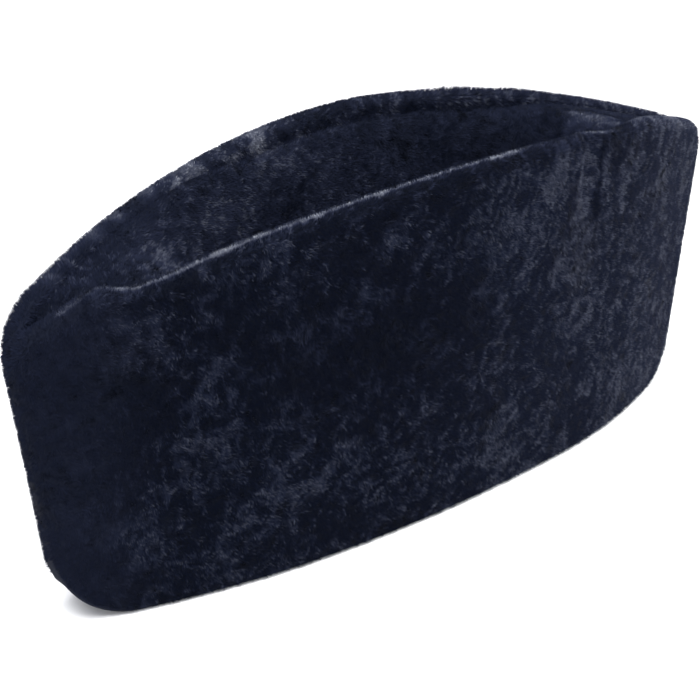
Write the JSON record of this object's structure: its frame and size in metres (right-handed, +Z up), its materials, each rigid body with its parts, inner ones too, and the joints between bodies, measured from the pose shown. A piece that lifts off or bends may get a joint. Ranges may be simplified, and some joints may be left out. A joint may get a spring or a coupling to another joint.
{
  "type": "boat-shaped fur hat",
  "caption": "Tall boat-shaped hat of sheared black fur, standing as if folded flat: two padded walls that meet in a round fold at each end, with a sunken valley-shaped top.",
  "frame": {"origin": "centre of the footprint box on the surface that the hem rests on", "axes": "+X along the hat's length, -Y towards the wall with the dent, +Z up"},
  "size_m": [0.3136, 0.0806, 0.1362],
  "materials": {
    "band_fur": "short dense sheared fur, black with a blue cast, crushed into lighter and darker patches",
    "crown_fur": "the same sheared fur, on the sunken top"
  },
  "bodies": {
    "root": {"band": "band_fur", "crown": "crown_fur"}
  },
  "joints": []
}
